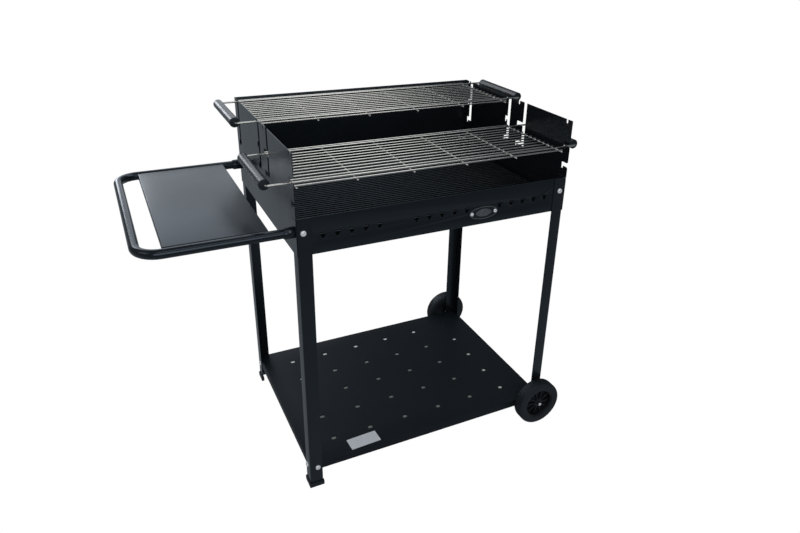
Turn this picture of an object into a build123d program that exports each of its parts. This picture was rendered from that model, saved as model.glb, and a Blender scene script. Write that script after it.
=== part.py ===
# Charcoal barbecue trolley: a sheet firebox on angle legs, two hooked-in cooking grids,
# a side table on a bent tube, a bottom shelf and two wheels. Millimetres, +Z up, front at -Y.
import os

from build123d import *

os.makedirs("parts", exist_ok=True)

# Firebox, over its outside faces
box_width = 740.0
box_depth = 550.0
panel_top = 785.0
panel_height = 93.0
wall_t = 1.5
panel_t = 1.5
floor_t = 1.5
lip = 15.0
hem = 10.0
relief_length = 33.0
relief_height = 1.5
relief_drop = 3.0

# Air holes and badge in the front panel
hole_drop = 50.0
hole_width = 17.5
hole_height = 17.0
hole_round = 1.5
hole_pitch = 35.0
holes_in_group = 5
hole_margin = 59.5
badge_rise = 32.0
badge_length = 84.0
badge_height = 34.0
badge_t = 1.2
badge_rim = 3.0
badge_rim_rise = 1.0
rivet_in = 7.75
rivet_d = 4.0
rivet_head_d = 10.0
rivet_head = 3.0

# Hooks in the side walls
low_hook_step = 56.0
top_hook_step = 65.0
hook_floor = 20.0
notch_depth = 11.0
rod_play = 1.0
drop_depth = 7.0
branch_height = 11.0
slot_width = 14.0
rear_shift = 15.0
front_shift = 32.0
front_hook_in = 21.5
lip_round = 5.0

# Cooking grids
rod_d = 5.0
wire_d = 4.0
grid_gap = 62.5
wires_between = 10
grid_tail = 17.0
grid_nose = 18.5
nub = 4.0
weld = 0.6
wire_end_gap = 11.0
end_cross_in = 4.0
cross_count = 6
handle_reach = 46.0
handle_bend = 8.0

# Handle grips
grip_d = 25.0
grip_wall = 2.0
grip_end_gap = 0.5
plug_flange = 2.0
plug_depth = 8.0

# Charcoal grate
grate_d = 4.0
grate_pitch = 12.7
grate_side_gap = 1.5
grate_end_gap = 3.0
grate_overhang = 16.0
ledge_gap = 3.0
ledge_width = 14.0
ledge_t = 1.5

# Legs, feet and bolts
leg_flange = 34.0
leg_t = 2.0
leg_below_axle = 20.0
foot_height = 14.0
foot_floor = 3.0
foot_wall = 3.0
bolt_in = 16.5
bolt_drop = 36.0
shelf_bolt_in = 23.0
bolt_d = 6.0
bolt_head_d = 14.0
bolt_head = 4.0
nut_width = 10.0
nut_t = 5.0
bolt_tail = 1.5

# Side table
table_reach = 340.0
tube_d = 22.0
tube_wall = 1.5
tube_bend = 50.0
socket_wall = 2.5
socket_length = 20.0
socket_base = 5.0
plate_near = 54.0
plate_width = 223.0
plate_t = 1.2
plate_edge = 14.0
plate_sink = 2.0
socket_screw_d = 4.0
socket_screw_head_d = 8.0
socket_screw_head = 3.0

# Bottom shelf
axle_gap = 0.8
shelf_t = 1.2
shelf_flange = 22.0
shelf_bolt_drop = 14.0
shelf_hole = 13.0
shelf_margin_x = 91.5
shelf_margin_y = 75.0
shelf_holes_x = 6
shelf_holes_y = 5

# Axle and wheels
axle_in = 25.0
axle_d = 8.0
wheel_d = 140.0
wheel_width = 36.0
tyre_bore = 94.0
tyre_round = 6.0
tread_grooves = 44
groove_width = 3.0
groove_depth = 1.5
rim_t = 4.0
rim_recess = 3.0
web_t = 4.0
hub_boss_d = 25.0
boss_recess = 5.0
spoke_count = 10
spoke_t = 3.0
spoke_recess = 6.0
washer_d = 24.0
washer_t = 2.0
nut_cap_d = 14.0
nut_cap_length = 9.0
nut_cap_hold = 5.0

# Clearances
seat_gap = 0.3
wire_clear = 1.5
running_fit = 0.05
slide_fit = 0.1
bolt_clear = 0.2

# The grids lie off the middle towards the table, the front one almost against the wall
front_slide = wire_end_gap - wire_clear
rear_slide = front_slide / 2

# The origin is under the middle of the whole object
grip_reach = handle_reach + grip_d / 2 - rear_slide
box_x = (table_reach - grip_reach) / 2

# Heights
box_bottom = panel_top - panel_height
low_seat_z = panel_top + hook_floor
mid_seat_z = low_seat_z + low_hook_step
top_seat_z = mid_seat_z + top_hook_step
wall_top = top_seat_z + notch_depth

# Faces that several pieces share
half_w = box_width / 2
half_d = box_depth / 2
leg_x = half_w - wall_t
panel_y = half_d - leg_t
panel_x = leg_x - leg_t
inside_y = panel_y - panel_t
bolt_x = half_w - bolt_in
bolt_y = half_d - bolt_in
bolt_z = panel_top - bolt_drop
lip_half = half_d - leg_flange - wall_t
end_grip = leg_t + panel_t
side_grip = wall_t + leg_t
bolt_in_box = nut_t + bolt_tail

# Air holes run to the same margin at both ends, and the badge is between two groups
hole_z = panel_top - hole_drop
group_pitch = panel_x - hole_margin - hole_pitch * (holes_in_group - 1) / 2
badge_x = group_pitch / 2
badge_z = box_bottom + badge_rise
rivet_span = badge_length - 2 * rivet_in

# Rod seats: the two grids share the depth, the rear one in the top notches, the front one a level lower
drop_width = rod_d + 2 * rod_play
front_rod_y = front_hook_in - half_d
rear_seat_y = inside_y - wire_clear - wire_d / 2 - grid_tail
rod_span = (rear_seat_y - front_rod_y - grid_gap) / 2
front_seat_y = front_rod_y + rod_span
rod_seats = (
    (rear_seat_y, rear_seat_y - rear_shift),
    (rear_seat_y - rod_span, rear_seat_y - rod_span - rear_shift),
    (front_seat_y, front_seat_y - front_shift),
)

# Grips fill the straight run of the handle loop
grip_bore = grip_d - 2 * grip_wall
grip_length = rod_span - 2 * (handle_bend + plug_flange + grip_end_gap)

# Wheels
axle_x = half_w - axle_in
axle_z = wheel_d / 2
wheel_in = half_d + washer_t + seat_gap
wheel_out = wheel_in + wheel_width
boss_out = wheel_out - boss_recess
right_leg_bottom = axle_z - leg_below_axle

# The shelf lies just over the axle
shelf_top = axle_z + axle_d / 2 + axle_gap + shelf_t
shelf_bolt_x = half_w - shelf_bolt_in
shelf_bolt_y = half_d - shelf_bolt_in
shelf_bolt_z = shelf_top - shelf_bolt_drop

# Sockets go over the tube
socket_d = tube_d + 2 * socket_wall

# Cross wires stand at the same places in all three grids, measured from the grid's middle
wire_half = leg_x - wire_end_gap
cross_span = 2 * (wire_half - end_cross_in)
cross_xs = [cross_span * i / (cross_count - 1) - cross_span / 2 for i in range(cross_count)]


def outward(x, y, z, direction):
    return Plane(origin=(box_x + x, y, z), z_dir=direction)


# Bolt places, each a plane on the outside face with its normal pointing outwards
front_bolts = [outward(sx * bolt_x, -half_d, bolt_z, (0, -1, 0)) for sx in (-1, 1)]
rear_bolts = [outward(sx * bolt_x, half_d, bolt_z, (0, 1, 0)) for sx in (-1, 1)]
right_bolts = [outward(half_w, sy * bolt_y, bolt_z, (1, 0, 0)) for sy in (-1, 1)]
left_bolts = [outward(-half_w, sy * bolt_y, bolt_z, (-1, 0, 0)) for sy in (-1, 1)]
shelf_end_bolts = [outward(-shelf_bolt_x, sy * half_d, shelf_bolt_z, (0, sy, 0)) for sy in (-1, 1)]
shelf_side_bolts = [
    outward(sx * leg_x, sy * shelf_bolt_y, shelf_bolt_z, (sx, 0, 0)) for sx in (-1, 1) for sy in (-1, 1)
]
axle_holes = [outward(axle_x, sy * half_d, axle_z, (0, sy, 0)) for sy in (-1, 1)]


def dome_radius(width, rise):
    return (width**2 / 4 + rise**2) / (2 * rise)


def dome_screw(shank_d, shank_length, head_d, head_height):
    shank_r = shank_d / 2
    head_r = head_d / 2
    with BuildPart() as screw:
        with BuildSketch(Plane.XZ):
            with BuildLine():
                Polyline(
                    (0, head_height), (0, -shank_length), (shank_r, -shank_length), (shank_r, 0), (head_r, 0)
                )
                RadiusArc((head_r, 0), (0, head_height), -dome_radius(head_d, head_height))
            make_face()
        revolve(axis=Axis.Z)
    return screw.part


def hex_nut(width, thickness, bore_d):
    with BuildPart() as nut:
        with BuildSketch():
            RegularPolygon(width / 2, 6, major_radius=False)
            Circle(bore_d / 2, mode=Mode.SUBTRACT)
        extrude(amount=-thickness)
    return nut.part


def cap_nut(width, length, bore_d, hold):
    with BuildPart() as nut:
        with BuildSketch(Plane.XZ):
            with BuildLine():
                Polyline((0, length), (0, 0), (width / 2, 0), (width / 2, length / 4))
                RadiusArc((width / 2, length / 4), (0, length), -dome_radius(width, length * 3 / 4))
            make_face()
        revolve(axis=Axis.Z)
        Cylinder(bore_d / 2, 2 * hold, mode=Mode.SUBTRACT)
    return nut.part


def hook_cut(seat_y, seat_z, entry_y):
    drop_top = seat_z + drop_depth
    with Locations((seat_y, seat_z + drop_width / 2)):
        Circle(drop_width / 2, mode=Mode.SUBTRACT)
    with Locations((seat_y, seat_z + drop_width / 2)):
        Rectangle(drop_width, drop_depth, align=(Align.CENTER, Align.MIN), mode=Mode.SUBTRACT)
    with Locations((entry_y, drop_top)):
        Rectangle(
            seat_y + drop_width / 2 - entry_y, branch_height, align=(Align.MIN, Align.MIN), mode=Mode.SUBTRACT
        )


def notch_cut(seat_y):
    with Locations((seat_y, top_seat_z + drop_width / 2)):
        Circle(drop_width / 2, mode=Mode.SUBTRACT)
    with Locations((seat_y, top_seat_z + drop_width / 2)):
        Rectangle(drop_width, notch_depth, align=(Align.CENTER, Align.MIN), mode=Mode.SUBTRACT)


# Side walls, with the slots and hooks that carry the cooking grids
for side, sx in (("left", -1), ("right", 1)):
    with BuildPart() as wall:
        with BuildSketch(Plane.YZ.offset(box_x + sx * (half_w - wall_t / 2) - wall_t / 2)) as outline:
            with Locations((0, box_bottom)):
                Rectangle(box_depth, wall_top - box_bottom, align=(Align.CENTER, Align.MIN))
            for seat_y, slot_y in rod_seats:
                with Locations((slot_y, low_seat_z + drop_depth)):
                    Rectangle(
                        slot_width, wall_top - low_seat_z, align=(Align.CENTER, Align.MIN), mode=Mode.SUBTRACT
                    )
                notch_cut(seat_y)
                for seat_z in (mid_seat_z, low_seat_z):
                    hook_cut(seat_y, seat_z, slot_y)
            notch_cut(front_rod_y)
            for seat_z in (mid_seat_z, low_seat_z):
                hook_cut(front_rod_y, seat_z, -half_d - lip)
            front_corners = [
                v
                for v in outline.vertices()
                if abs(v.X + half_d) < 0.01 and box_bottom + 1 < v.Y < wall_top - 1
            ]
            fillet(front_corners, lip_round)
            with Locations((-half_d, panel_top - relief_drop)):
                Rectangle(
                    relief_length, relief_height, align=(Align.MIN, Align.MIN), mode=Mode.SUBTRACT
                )
        extrude(amount=wall_t)
        with Locations((box_x + sx * (leg_x - lip / 2), 0, box_bottom + wall_t / 2)):
            Box(lip, 2 * lip_half, wall_t)
        with Locations(*(left_bolts if sx < 0 else right_bolts)):
            Hole(bolt_d / 2 + bolt_clear, wall_t)
    wall.part.label = f"{side}_wall"
    export_step(wall.part, f"parts/{side}_wall.step")

# Front panel: low, with three groups of air holes
with BuildSketch() as air_hole:
    with BuildLine():
        Polyline(
            (-hole_width / 2, hole_height / 2),
            (hole_width / 2, hole_height / 2),
            (0, -hole_height / 2),
            close=True,
        )
    make_face()
    fillet(air_hole.vertices(), hole_round)
with BuildPart() as front_panel:
    with BuildSketch(Plane.XZ.offset(inside_y)):
        with Locations((box_x, box_bottom)):
            Rectangle(2 * panel_x, panel_top - box_bottom, align=(Align.CENTER, Align.MIN))
        with Locations((box_x, hole_z)):
            with GridLocations(group_pitch, 1, 3, 1):
                with GridLocations(hole_pitch, 1, holes_in_group, 1):
                    add(air_hole.sketch, mode=Mode.SUBTRACT)
        with Locations((box_x + badge_x, badge_z)):
            with GridLocations(rivet_span, 1, 2, 1):
                Circle(rivet_d / 2 + bolt_clear, mode=Mode.SUBTRACT)
        with Locations((box_x - bolt_x, bolt_z), (box_x + bolt_x, bolt_z)):
            Circle(bolt_d / 2 + bolt_clear, mode=Mode.SUBTRACT)
    extrude(amount=panel_t)
    with Locations((box_x, lip / 2 - panel_y, box_bottom + panel_t / 2)):
        Box(2 * panel_x, lip, panel_t)
    with Locations((box_x, panel_t / 2 - inside_y, panel_top - hem / 2)):
        Box(2 * panel_x, panel_t, hem)
front_panel.part.label = "front_panel"
export_step(front_panel.part, "parts/front_panel.step")

# Rear panel: as high as the side walls, wider above the legs
with BuildPart() as rear_panel:
    with BuildSketch(Plane.XZ.offset(-panel_y)):
        with Locations((box_x, box_bottom)):
            Rectangle(2 * panel_x, wall_top - box_bottom, align=(Align.CENTER, Align.MIN))
        with Locations((box_x, panel_top)):
            Rectangle(2 * leg_x, wall_top - panel_top, align=(Align.CENTER, Align.MIN))
        with Locations((box_x - bolt_x, bolt_z), (box_x + bolt_x, bolt_z)):
            Circle(bolt_d / 2 + bolt_clear, mode=Mode.SUBTRACT)
    extrude(amount=panel_t)
    with Locations((box_x, panel_y - lip / 2, box_bottom + panel_t / 2)):
        Box(2 * panel_x, lip, panel_t)
    with Locations((box_x, panel_y + panel_t / 2, wall_top - hem / 2)):
        Box(2 * leg_x, panel_t, hem)
rear_panel.part.label = "rear_panel"
export_step(rear_panel.part, "parts/rear_panel.step")

# Firebox floor, lying on the bottom lips
with BuildPart() as firebox_floor:
    with BuildSketch(Plane.XY.offset(box_bottom + panel_t)):
        with Locations((box_x, 0)):
            Rectangle(2 * panel_x, 2 * inside_y)
            Rectangle(2 * leg_x, 2 * lip_half)
    extrude(amount=floor_t)
firebox_floor.part.label = "firebox_floor"
export_step(firebox_floor.part, "parts/firebox_floor.step")

# Ledges that carry the charcoal grate
grate_rest = badge_z - rivet_d / 2 - ledge_gap
for end, sy in (("front", -1), ("rear", 1)):
    with BuildPart() as ledge:
        with Locations((box_x, sy * (inside_y - ledge_width / 2), grate_rest - ledge_t / 2)):
            Box(2 * wire_half, ledge_width, ledge_t)
        with Locations((box_x, sy * (inside_y - ledge_t / 2), grate_rest - ledge_width / 2)):
            Box(2 * wire_half, ledge_t, ledge_width)
    ledge.part.label = f"{end}_grate_ledge"
    export_step(ledge.part, f"parts/{end}_grate_ledge.step")

# Charcoal grate: close wires along X on cross wires that rest on the ledges
grate_cross_z = grate_rest + seat_gap + grate_d / 2
grate_wire_z = grate_cross_z + grate_d - weld
grate_half_x = half_w - side_grip - bolt_in_box - grate_side_gap
grate_half_y = half_d - end_grip - bolt_in_box - grate_end_gap
grate_rows = int(2 * (grate_half_y - grate_overhang) / grate_pitch) + 1
with BuildPart() as charcoal_grate:
    with Locations((box_x, 0, grate_wire_z)):
        with GridLocations(1, grate_pitch, 1, grate_rows):
            Cylinder(grate_d / 2, 2 * grate_half_x, rotation=(0, 90, 0))
    with Locations(*[(box_x + x, 0, grate_cross_z) for x in cross_xs]):
        Cylinder(grate_d / 2, 2 * grate_half_y, rotation=(90, 0, 0))
charcoal_grate.part.label = "charcoal_grate"
export_step(charcoal_grate.part, "parts/charcoal_grate.step")

# Cooking grids: a wire panel welded under a closed rod with a handle loop at each end
rod_pitch = rod_span / (wires_between + 1)
loop_x = half_w + handle_reach
for grid, back_y, seat_z, slide in (
    ("front", front_seat_y, mid_seat_z, front_slide),
    ("rear", rear_seat_y, top_seat_z, rear_slide),
):
    grid_x = box_x - slide
    rod_z = seat_z + seat_gap + rod_d / 2
    cross_z = rod_z - rod_d / 2 - running_fit - wire_d / 2
    wire_z = cross_z + wire_d - weld
    lead_y = back_y - rod_span
    with BuildPart() as rod:
        with BuildLine(Plane.XY.offset(rod_z)) as path:
            FilletPolyline(
                (grid_x, lead_y),
                (grid_x - loop_x, lead_y),
                (grid_x - loop_x, back_y),
                (grid_x, back_y),
                radius=handle_bend,
            )
        with BuildSketch(Plane(origin=path.line @ 0, z_dir=path.line % 0)):
            Circle(rod_d / 2)
        sweep(path=path.line)
        mirror(about=Plane.YZ.offset(grid_x))
    rod.part.label = f"{grid}_grid_rod"
    export_step(rod.part, f"parts/{grid}_grid_rod.step")

    wire_ys = [lead_y + rod_pitch * (i + 1) for i in range(wires_between)]
    wire_ys = [lead_y - grid_nose] + wire_ys + [back_y + grid_tail]
    cross_length = grid_nose + rod_span + grid_tail + nub
    with BuildPart() as wires:
        with Locations(*[(grid_x, y, wire_z) for y in wire_ys]):
            Cylinder(wire_d / 2, 2 * wire_half, rotation=(0, 90, 0))
        with Locations(*[(grid_x + x, back_y + grid_tail - cross_length / 2, cross_z) for x in cross_xs]):
            Cylinder(wire_d / 2, cross_length, rotation=(90, 0, 0))
    wires.part.label = f"{grid}_grid_wires"
    export_step(wires.part, f"parts/{grid}_grid_wires.step")

    # Grips: a sleeve closed by a plug at each end, free to turn on the rod
    for side, sx in (("left", -1), ("right", 1)):
        grip_at = (grid_x + sx * loop_x, back_y - rod_span / 2, rod_z)
        with BuildPart() as sleeve:
            with Locations(grip_at):
                Cylinder(grip_d / 2, grip_length, rotation=(90, 0, 0))
                Cylinder(grip_bore / 2, grip_length, rotation=(90, 0, 0), mode=Mode.SUBTRACT)
        sleeve.part.label = f"{grid}_{side}_grip"
        export_step(sleeve.part, f"parts/{grid}_{side}_grip.step")

        plug_ends = [
            Plane(origin=(grip_at[0], grip_at[1] + sy * grip_length / 2, rod_z), z_dir=(0, sy, 0))
            for sy in (-1, 1)
        ]
        with BuildPart() as plugs:
            with Locations(*plug_ends):
                Cylinder(grip_d / 2, plug_flange, align=(Align.CENTER, Align.CENTER, Align.MIN))
                Cylinder(
                    grip_bore / 2 - running_fit, plug_depth, align=(Align.CENTER, Align.CENTER, Align.MAX)
                )
                Cylinder(rod_d / 2 + running_fit, 4 * plug_depth, mode=Mode.SUBTRACT)
        plugs.part.label = f"{grid}_{side}_grip_plugs"
        export_step(plugs.part, f"parts/{grid}_{side}_grip_plugs.step")

# Legs: four steel angles; the right pair stops above the floor and carries the axle
for end, sy in (("front", -1), ("rear", 1)):
    for side, sx in (("left", -1), ("right", 1)):
        leg_bottom = foot_floor if sx < 0 else right_leg_bottom
        with BuildSketch(Plane.XY.offset(leg_bottom)) as angle:
            with Locations((box_x + sx * (leg_x - leg_flange / 2), sy * (half_d - leg_t / 2))):
                Rectangle(leg_flange, leg_t)
            with Locations((box_x + sx * (leg_x - leg_t / 2), sy * (half_d - leg_flange / 2))):
                Rectangle(leg_t, leg_flange)
        with BuildPart() as leg:
            add(angle.sketch)
            extrude(amount=panel_top - leg_bottom)
            with Locations((front_bolts if sy < 0 else rear_bolts)[(sx + 1) // 2]):
                Hole(bolt_d / 2 + bolt_clear, leg_t)
            with Locations((left_bolts if sx < 0 else right_bolts)[(sy + 1) // 2]):
                Hole(bolt_d / 2 + bolt_clear, wall_t + leg_t)
            with Locations(shelf_side_bolts[sx + 1 + (sy + 1) // 2]):
                Hole(bolt_d / 2 + bolt_clear, leg_t)
            with Locations(shelf_end_bolts[(sy + 1) // 2] if sx < 0 else axle_holes[(sy + 1) // 2]):
                Hole((bolt_d if sx < 0 else axle_d) / 2 + bolt_clear, leg_t)
        leg.part.label = f"{end}_{side}_leg"
        export_step(leg.part, f"parts/{end}_{side}_leg.step")

        # Foot cap: a cup around the lower end of a left leg
        if sx < 0:
            with BuildPart() as foot:
                with BuildSketch():
                    add(angle.sketch_local)
                    offset(amount=foot_wall, kind=Kind.INTERSECTION)
                extrude(amount=foot_height)
                with BuildSketch(Plane.XY.offset(foot_floor)):
                    add(angle.sketch_local)
                extrude(amount=foot_height, mode=Mode.SUBTRACT)
            foot.part.label = f"{end}_{side}_foot"
            export_step(foot.part, f"parts/{end}_{side}_foot.step")

# Side table: a bent tube in two sockets, with a folded plate between its arms
tube_start = box_x - half_w - socket_base
tube_end = box_x - half_w - table_reach + tube_d / 2
screw_lines = [
    Plane(origin=(tube_start - socket_length / 3, sy * bolt_y, bolt_z), x_dir=(1, 0, 0), z_dir=(0, sy, 0.7))
    for sy in (-1, 1)
]
with BuildPart() as table_frame:
    with BuildLine(Plane.XY.offset(bolt_z)) as bend:
        FilletPolyline(
            (tube_start, -bolt_y),
            (tube_end, -bolt_y),
            (tube_end, bolt_y),
            (tube_start, bolt_y),
            radius=tube_bend,
        )
    with BuildSketch(Plane(origin=bend.line @ 0, z_dir=bend.line % 0)):
        Circle(tube_d / 2)
        Circle(tube_d / 2 - tube_wall, mode=Mode.SUBTRACT)
    sweep(path=bend.line)
    with Locations(*[line.offset(tube_d / 2) for line in screw_lines]):
        Cylinder(socket_screw_d / 2 + bolt_clear, tube_d / 2, mode=Mode.SUBTRACT)
table_frame.part.label = "table_frame"
export_step(table_frame.part, "parts/table_frame.step")

for end, sy in (("front", -1), ("rear", 1)):
    with BuildPart() as socket:
        with Locations(left_bolts[(sy + 1) // 2]):
            Cylinder(socket_d / 2, socket_base + socket_length, align=(Align.CENTER, Align.CENTER, Align.MIN))
            Cylinder(
                bolt_d / 2 + bolt_clear,
                socket_base,
                align=(Align.CENTER, Align.CENTER, Align.MIN),
                mode=Mode.SUBTRACT,
            )
        with Locations(left_bolts[(sy + 1) // 2].offset(socket_base)):
            Cylinder(
                tube_d / 2 + slide_fit,
                socket_length,
                align=(Align.CENTER, Align.CENTER, Align.MIN),
                mode=Mode.SUBTRACT,
            )
        with Locations(screw_lines[(sy + 1) // 2].offset(tube_d / 2)):
            Cylinder(socket_screw_d / 2 + bolt_clear, tube_d / 2, mode=Mode.SUBTRACT)
    socket.part.label = f"{end}_table_socket"
    export_step(socket.part, f"parts/{end}_table_socket.step")

plate_x = box_x - half_w - plate_near - plate_width / 2
plate_half = bolt_y - tube_d / 2 - slide_fit
plate_z = bolt_z + tube_d / 2 - plate_sink
with BuildPart() as table_plate:
    with Locations((plate_x, 0, plate_z)):
        Box(plate_width, 2 * plate_half, plate_edge, align=(Align.CENTER, Align.CENTER, Align.MAX))
    with Locations((plate_x, 0, plate_z - plate_t)):
        Box(
            plate_width - 2 * plate_t,
            2 * (plate_half - plate_t),
            plate_edge,
            align=(Align.CENTER, Align.CENTER, Align.MAX),
            mode=Mode.SUBTRACT,
        )
table_plate.part.label = "table_plate"
export_step(table_plate.part, "parts/table_plate.step")

# Bottom shelf: a folded tray between the legs, pierced by square holes
shelf_y = half_d - leg_t
shelf_hole_pitch_x = 2 * (panel_x - shelf_margin_x) / (shelf_holes_x - 1)
shelf_hole_pitch_y = 2 * (shelf_y - shelf_margin_y) / (shelf_holes_y - 1)
with BuildPart() as shelf:
    with Locations((box_x, 0, shelf_top)):
        Box(2 * panel_x, 2 * shelf_y, shelf_flange, align=(Align.CENTER, Align.CENTER, Align.MAX))
    with Locations((box_x, 0, shelf_top - shelf_t)):
        Box(
            2 * (panel_x - shelf_t),
            2 * (shelf_y - shelf_t),
            shelf_flange,
            align=(Align.CENTER, Align.CENTER, Align.MAX),
            mode=Mode.SUBTRACT,
        )
    with BuildSketch(Plane.XY.offset(shelf_top)):
        with Locations((box_x, 0)):
            with GridLocations(shelf_hole_pitch_x, shelf_hole_pitch_y, shelf_holes_x, shelf_holes_y):
                Rectangle(shelf_hole, shelf_hole)
    extrude(amount=-2 * shelf_t, mode=Mode.SUBTRACT)
    with Locations(*shelf_end_bolts, *shelf_side_bolts):
        Hole(bolt_d / 2 + bolt_clear, leg_t + 2 * shelf_t)
    with Locations(*axle_holes):
        Hole(axle_d / 2 + bolt_clear, leg_t + 2 * shelf_t)
shelf.part.label = "shelf"
export_step(shelf.part, "parts/shelf.step")

# Axle along Y through both right legs, with a washer and a cap nut at each wheel
axle_half = boss_out + seat_gap + nut_cap_hold
axle_line = Axis((box_x + axle_x, 0, axle_z), (0, 1, 0))
with BuildPart() as axle:
    with Locations((box_x + axle_x, 0, axle_z)):
        Cylinder(axle_d / 2, 2 * axle_half, rotation=(90, 0, 0))
axle.part.label = "axle"
export_step(axle.part, "parts/axle.step")

with BuildPart() as axle_washers:
    with Locations(*axle_holes):
        Cylinder(washer_d / 2, washer_t, align=(Align.CENTER, Align.CENTER, Align.MIN))
        Cylinder(axle_d / 2 + slide_fit, 4 * washer_t, mode=Mode.SUBTRACT)
axle_washers.part.label = "axle_washers"
export_step(axle_washers.part, "parts/axle_washers.step")

nut_seats = [plane.offset(boss_out + seat_gap - half_d) for plane in axle_holes]
axle_nut = cap_nut(nut_cap_d, nut_cap_length, axle_d + 2 * running_fit, nut_cap_hold)
with BuildPart() as axle_nuts:
    with Locations(*nut_seats):
        add(axle_nut)
axle_nuts.part.label = "axle_nuts"
export_step(axle_nuts.part, "parts/axle_nuts.step")

# Wheels: a tyre on a spoked hub that turns on the axle
wheel_plane = Plane(origin=(box_x + axle_x, 0, axle_z), x_dir=(1, 0, 0), z_dir=(0, 0, 1))
wheel_mid = -(wheel_in + wheel_out) / 2
with BuildPart() as front_tyre:
    with BuildSketch(wheel_plane) as tread:
        with Locations(((wheel_d + tyre_bore) / 4, wheel_mid)):
            Rectangle((wheel_d - tyre_bore) / 2, wheel_width)
        fillet(tread.vertices().group_by(Axis.X)[-1], tyre_round)
    revolve(axis=axle_line)
    with Locations(Plane(origin=(box_x + axle_x, wheel_mid, axle_z), x_dir=(1, 0, 0), z_dir=(0, -1, 0))):
        with PolarLocations(wheel_d / 2, tread_grooves, start_angle=180 / tread_grooves):
            Box(2 * groove_depth, groove_width, 2 * wheel_width, mode=Mode.SUBTRACT)
front_tyre.part.label = "front_tyre"
export_step(front_tyre.part, "parts/front_tyre.step")

hub_plane = axle_holes[0].offset(wheel_in - half_d)
hub_r = tyre_bore / 2
boss_r = hub_boss_d / 2
spoke_length = hub_r - rim_t / 2 - boss_r * 0.8
with BuildPart() as front_hub:
    with BuildSketch(hub_plane.offset(rim_recess)):
        Circle(hub_r)
        Circle(hub_r - rim_t, mode=Mode.SUBTRACT)
    extrude(amount=wheel_width - 2 * rim_recess)
    with BuildSketch(hub_plane.offset((wheel_width - web_t) / 2)):
        Circle(hub_r - rim_t / 2)
    extrude(amount=web_t)
    with BuildSketch(hub_plane):
        Circle(boss_r)
    extrude(amount=wheel_width - boss_recess)
    with BuildSketch(hub_plane.offset(wheel_width / 2)):
        with PolarLocations(hub_r - rim_t / 2 - spoke_length / 2, spoke_count):
            Rectangle(spoke_length, spoke_t)
    extrude(amount=wheel_width / 2 - spoke_recess)
    with Locations(hub_plane):
        Cylinder(axle_d / 2 + running_fit, 4 * wheel_width, mode=Mode.SUBTRACT)
front_hub.part.label = "front_hub"
export_step(front_hub.part, "parts/front_hub.step")

with BuildPart() as rear_tyre:
    mirror(front_tyre.part, about=Plane.XZ)
rear_tyre.part.label = "rear_tyre"
export_step(rear_tyre.part, "parts/rear_tyre.step")

with BuildPart() as rear_hub:
    mirror(front_hub.part, about=Plane.XZ)
rear_hub.part.label = "rear_hub"
export_step(rear_hub.part, "parts/rear_hub.step")

# Bolts and nuts that join the legs to the firebox
end_bolt = dome_screw(bolt_d, end_grip + bolt_in_box, bolt_head_d, bolt_head)
side_bolt = dome_screw(bolt_d, side_grip + bolt_in_box, bolt_head_d, bolt_head)
nut = hex_nut(nut_width, nut_t, bolt_d + 2 * running_fit)
with BuildPart() as leg_bolts:
    with Locations(*front_bolts, *rear_bolts):
        add(end_bolt)
    with Locations(*right_bolts):
        add(side_bolt)
leg_bolts.part.label = "leg_bolts"
export_step(leg_bolts.part, "parts/leg_bolts.step")

with BuildPart() as leg_nuts:
    with Locations(*[plane.offset(-end_grip) for plane in front_bolts + rear_bolts]):
        add(nut)
    with Locations(*[plane.offset(-side_grip) for plane in right_bolts]):
        add(nut)
leg_nuts.part.label = "leg_nuts"
export_step(leg_nuts.part, "parts/leg_nuts.step")

# Bolts that hold the table sockets from inside the firebox, and the screws that hold the tube
inner_seats = [outward(-panel_x, sy * bolt_y, bolt_z, (1, 0, 0)) for sy in (-1, 1)]
socket_bolt = dome_screw(bolt_d, side_grip + socket_base - seat_gap, nut_width, nut_t)
with BuildPart() as socket_bolts:
    with Locations(*inner_seats):
        add(socket_bolt)
socket_bolts.part.label = "socket_bolts"
export_step(socket_bolts.part, "parts/socket_bolts.step")

screw_length = (socket_d - tube_d) / 2 + 2 * tube_wall
socket_screw = dome_screw(socket_screw_d, screw_length, socket_screw_head_d, socket_screw_head)
with BuildPart() as socket_screws:
    with Locations(*[line.offset(socket_d / 2) for line in screw_lines]):
        add(socket_screw)
socket_screws.part.label = "socket_screws"
export_step(socket_screws.part, "parts/socket_screws.step")

# Bolts and nuts that hold the shelf to the legs
shelf_grip = leg_t + shelf_t
shelf_bolt = dome_screw(bolt_d, shelf_grip + bolt_in_box, bolt_head_d, bolt_head)
with BuildPart() as shelf_bolts:
    with Locations(*shelf_end_bolts, *shelf_side_bolts):
        add(shelf_bolt)
shelf_bolts.part.label = "shelf_bolts"
export_step(shelf_bolts.part, "parts/shelf_bolts.step")

with BuildPart() as shelf_nuts:
    with Locations(*[plane.offset(-shelf_grip) for plane in shelf_end_bolts + shelf_side_bolts]):
        add(nut)
shelf_nuts.part.label = "shelf_nuts"
export_step(shelf_nuts.part, "parts/shelf_nuts.step")

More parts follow.
